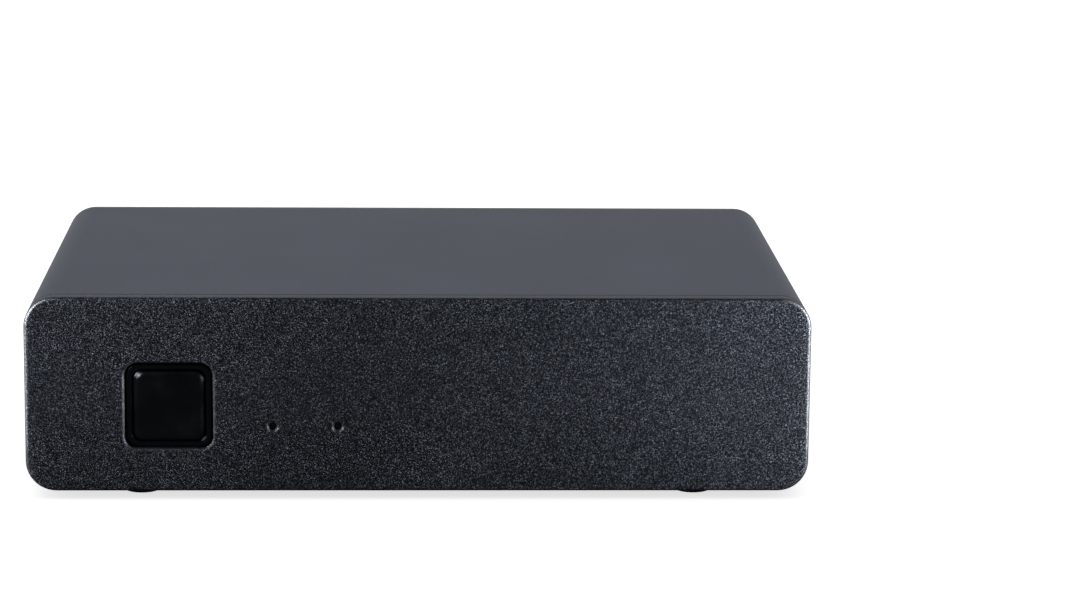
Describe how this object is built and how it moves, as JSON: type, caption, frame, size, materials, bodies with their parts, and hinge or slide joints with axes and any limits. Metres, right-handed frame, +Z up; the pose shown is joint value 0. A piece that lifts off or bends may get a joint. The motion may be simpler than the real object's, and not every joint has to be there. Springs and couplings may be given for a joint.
{
  "type": "media player",
  "caption": "Low box with rounded long edges, a square glossy push button and small indicators in its thick front plate, and a slide-out drive tray with thumbscrews at the rear.",
  "frame": {"origin": "middle of the whole footprint, on the surface that the feet stand on", "axes": "+X to the right seen from the front, +Y from the front to the back, +Z up; the front faces -Y"},
  "size_m": [0.27, 0.1952, 0.071],
  "materials": {
    "satin_anodised": "fine satin, dark grey anodised, slightly blue",
    "blasted_anodised": "coarse blasted and dark grey anodised, sparkling grain",
    "black_painted_sheet": "fine black powder coat",
    "zinc_sheet": "zinc-plated sheet, faint rolling marks",
    "foot_rubber": "matt black rubber",
    "zinc_screw": "zinc-plated",
    "black_screw": "black oxide",
    "gloss_black": "high gloss",
    "switch_metal": "stamped cover",
    "black_plastic": "fine matt moulding",
    "clear_pipe": "clear moulded light pipe",
    "led_body": "clear epoxy",
    "circuit_board": "green solder mask",
    "cable_film": "film",
    "cream_plastic": "moulded",
    "thermal_rubber": "soft pad",
    "black_aluminium": "black anodised extrusion",
    "can_sleeve": "aluminium can",
    "plated_steel": "nickel-plated",
    "rocker_plastic": "semi-gloss",
    "lead_insulation": "red insulation",
    "orange_plastic": "moulded",
    "yellow_plastic": "moulded",
    "white_plastic": "moulded",
    "red_plastic": "moulded",
    "nylon": "natural nylon",
    "brass_spacer": "turned",
    "cable_black": "insulation",
    "tray_plastic": "fine spark-eroded texture",
    "spring_steel": "spring steel",
    "nickel_knurl": "nickel-plated, knurled"
  },
  "bodies": {
    "case": {"sleeve": "satin_anodised", "front_panel": "blasted_anodised", "rear_panel": "black_painted_sheet", "chassis": "zinc_sheet", "foot_front_left": "foot_rubber", "foot_front_right": "foot_rubber", "foot_rear_left": "foot_rubber", "foot_rear_right": "foot_rubber", "foot_screws": "zinc_screw", "case_screws": "black_screw", "front_panel_screws": "zinc_screw", "button_bezel": "gloss_black", "tact_switch": "switch_metal", "light_pipes": "clear_pipe", "front_leds": "led_body", "infrared_receiver": "black_plastic", "front_board": "circuit_board", "front_board_screws": "zinc_screw", "front_cable": "cable_film", "front_cable_connectors": "cream_plastic", "main_board": "circuit_board", "board_screws": "zinc_screw", "processor": "black_plastic", "thermal_pad": "thermal_rubber", "heat_sink": "black_aluminium", "heat_sink_pins": "black_plastic", "memory_chips": "black_plastic", "capacitors": "can_sleeve", "power_coils": "black_plastic", "coin_cell": "plated_steel", "cell_holder": "black_plastic", "power_jack": "black_plastic", "rocker_housing": "black_plastic", "rocker_leads": "lead_insulation", "coaxial_jack": "orange_plastic", "video_jack": "yellow_plastic", "left_audio_jack": "white_plastic", "right_audio_jack": "red_plastic", "hdmi_socket": "plated_steel", "network_socket": "plated_steel", "usb_sockets": "plated_steel", "drive_cage": "zinc_sheet", "tray_rails": "nylon", "cage_spacers": "brass_spacer", "cage_screws": "zinc_screw", "thumb_nuts": "zinc_screw", "drive_board": "circuit_board", "drive_board_screws": "zinc_screw", "drive_socket": "black_plastic", "drive_cable": "cable_black"},
    "tray": {"drive_tray": "zinc_sheet", "tray_face": "tray_plastic", "tray_face_screws": "zinc_screw"},
    "left_clip": {"left_retaining_clip": "spring_steel"},
    "left_screw": {"left_thumbscrew": "nickel_knurl"},
    "right_clip": {"right_retaining_clip": "spring_steel"},
    "right_screw": {"right_thumbscrew": "nickel_knurl"},
    "button": {"power_button": "gloss_black", "tact_plunger": "black_plastic"},
    "rocker": {"power_rocker": "rocker_plastic"}
  },
  "joints": [
    {"name": "power_button_press", "type": "slide", "parent": "case", "child": "button", "axis": [0, 1, 0], "range_m": [0, 0.0006], "stiffness_N_per_m": 600, "springref_m": -0.001},
    {"name": "power_rocker_tilt", "type": "hinge", "parent": "case", "child": "rocker", "pos_m": [-0.0975, 0.07935, 0.02555], "axis": [1, 0, 0], "range_deg": [0, 20]},
    {"name": "tray_slide", "type": "slide", "parent": "case", "child": "tray", "axis": [0, 1, 0], "range_m": [0, 0.15]},
    {"name": "left_clip_slide", "type": "slide", "parent": "tray", "child": "left_clip", "axis": [0, 1, 0], "range_m": [0, 0.0035]},
    {"name": "left_thumbscrew_turn", "type": "hinge", "parent": "left_clip", "child": "left_screw", "pos_m": [-0.0007, 0.08965, 0.04615], "axis": [0, 1, 0], "range_deg": [0, 2520]},
    {"name": "right_clip_slide", "type": "slide", "parent": "tray", "child": "right_clip", "axis": [0, 1, 0], "range_m": [0, 0.0035]},
    {"name": "right_thumbscrew_turn", "type": "hinge", "parent": "right_clip", "child": "right_screw", "pos_m": [0.1181, 0.08965, 0.04615], "axis": [0, 1, 0], "range_deg": [0, 2520]}
  ],
  "couplings": [
    {"joint": "left_thumbscrew_turn", "follows": "left_clip_slide", "rad_per_m": 12566},
    {"joint": "right_thumbscrew_turn", "follows": "right_clip_slide", "rad_per_m": 12566}
  ]
}
